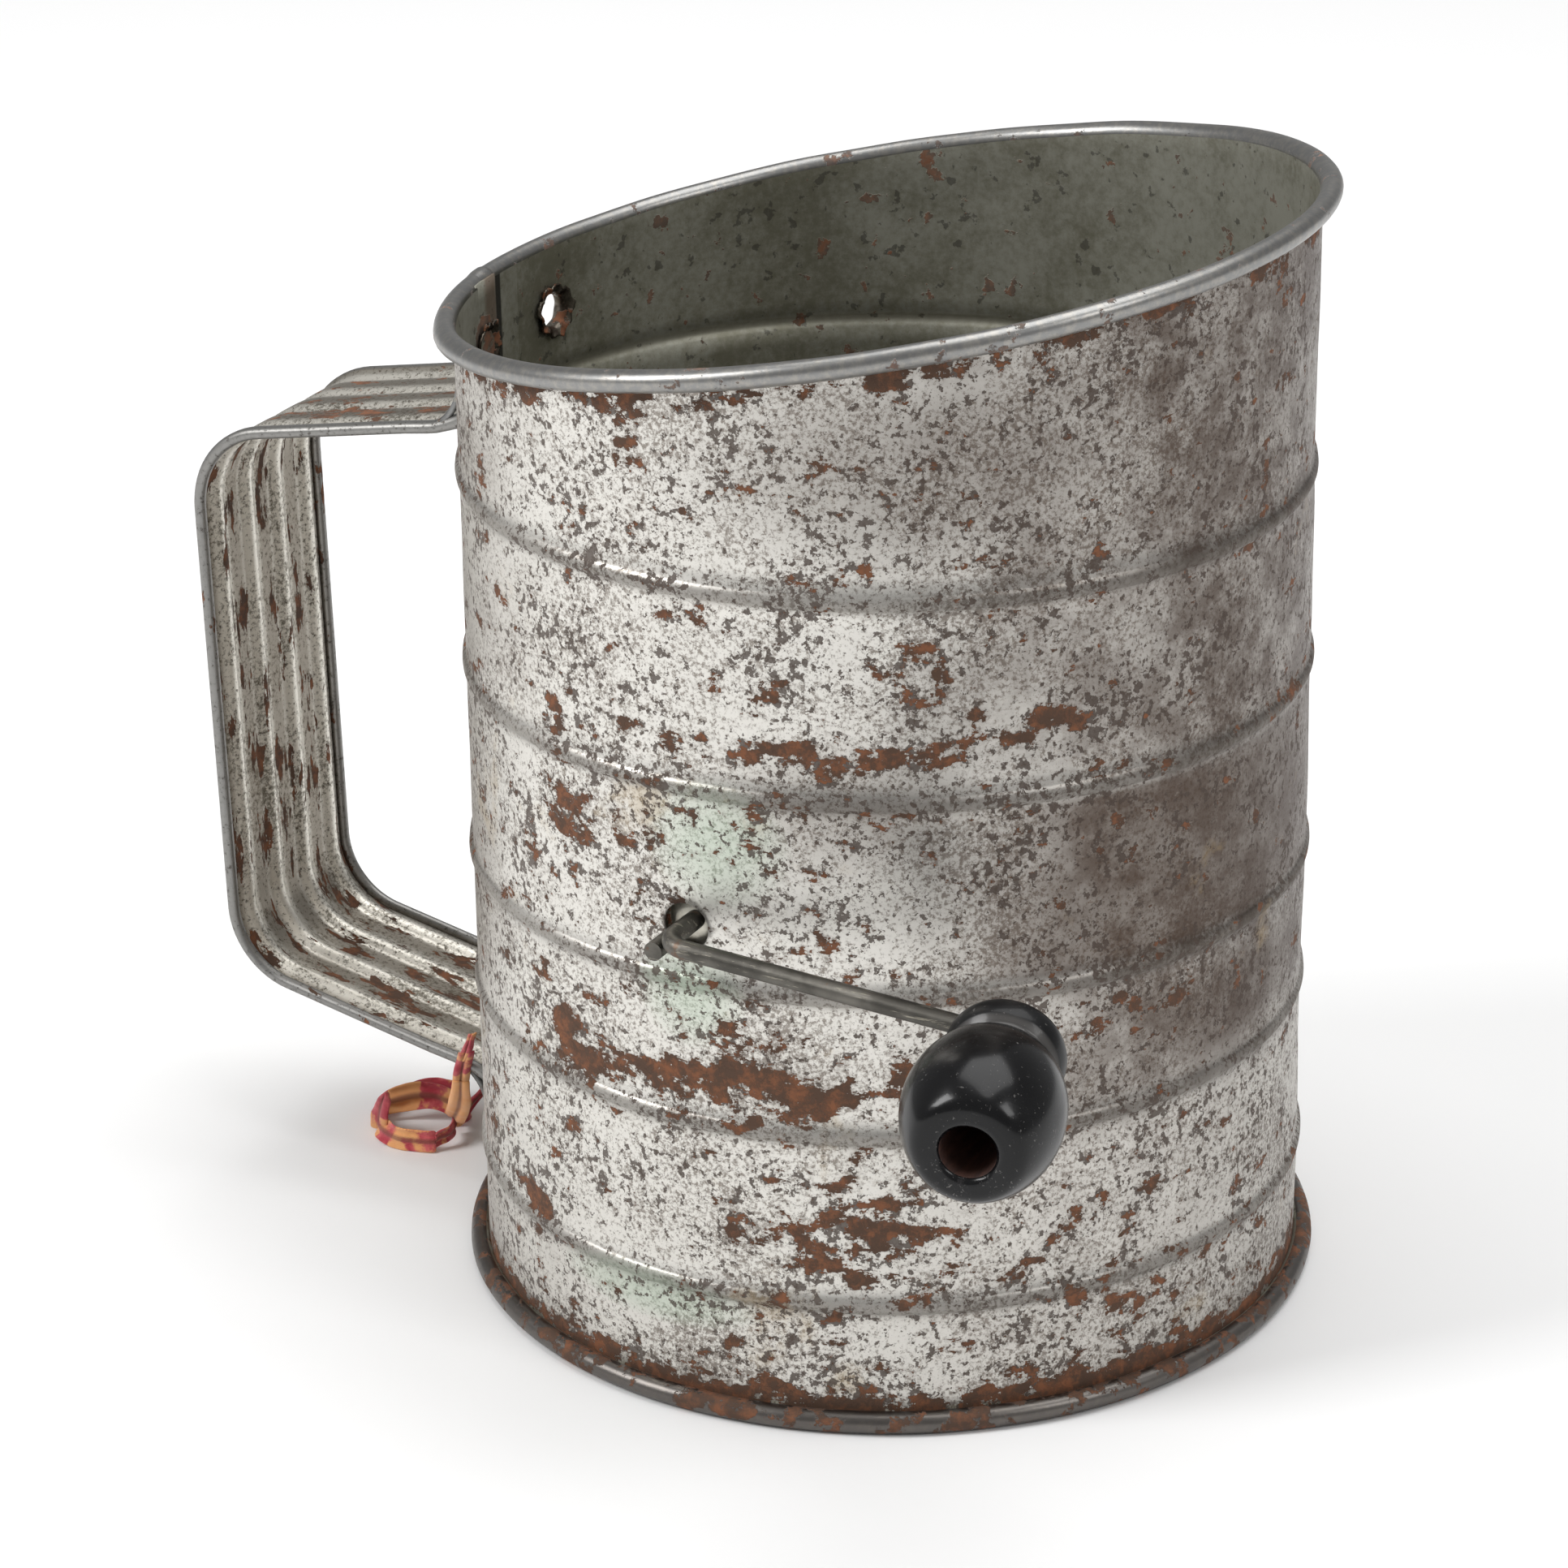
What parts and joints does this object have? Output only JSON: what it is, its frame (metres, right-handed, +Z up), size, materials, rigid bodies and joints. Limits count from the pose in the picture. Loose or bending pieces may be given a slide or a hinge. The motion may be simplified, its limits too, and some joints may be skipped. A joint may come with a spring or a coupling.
{
  "type": "flour sifter",
  "caption": "Hand-cranked tin flour sifter: a ribbed can with a slanted mouth, domed wire screen, turning hoop agitator, black knob and strap handle.",
  "frame": {"origin": "on the table under the can's axis, at the plane that the rolled foot stands on", "axes": "+Z up; +X from the handle towards the high side of the slanted mouth; the crank shaft runs along Y, with the crank on the -Y side"},
  "size_m": [0.1575, 0.1464, 0.1476],
  "materials": {
    "tinplate": "aged tinplate, mottled, with pits and rust",
    "handle_tin": "aged tinplate with worn rolled edges",
    "steel_wire": "drawn steel wire, dull grey",
    "screen_wire": "woven steel wire cloth",
    "solder": "dull soft solder",
    "black_knob": "turned wood with gloss black paint",
    "ribbon": "faded crimson and orange ribbon"
  },
  "bodies": {
    "can": {"can_body": "tinplate", "rim_wire": "steel_wire", "foot_wire": "steel_wire", "screen_mesh": "screen_wire", "screen_channel": "tinplate", "screen_seat": "tinplate", "screen_spring_ring": "steel_wire", "handle_strap": "handle_tin", "ribbon_knot": "ribbon", "ribbon": "ribbon", "handle_edge_wire_front": "steel_wire", "handle_edge_wire_back": "steel_wire", "eyelet_upper_front": "handle_tin", "eyelet_upper_back": "handle_tin", "eyelet_lower_front": "handle_tin", "eyelet_lower_back": "handle_tin"},
    "crank": {"crank_wire": "steel_wire", "agitator_wire": "steel_wire", "crank_side_disc": "tinplate", "far_side_disc": "tinplate", "crank_side_solder": "solder", "far_side_solder": "solder", "knob_washer": "steel_wire"},
    "knob": {"crank_knob": "black_knob"}
  },
  "joints": [
    {"name": "crank_spin", "type": "hinge", "parent": "can", "child": "crank", "pos_m": [0, 0, 0.0666], "axis": [0, -1, 0], "continuous": true},
    {"name": "knob_spin", "type": "hinge", "parent": "crank", "child": "knob", "pos_m": [0.04761, -0.06291, 0.06469], "axis": [0.248, -0.9659, -0.0743], "continuous": true}
  ]
}
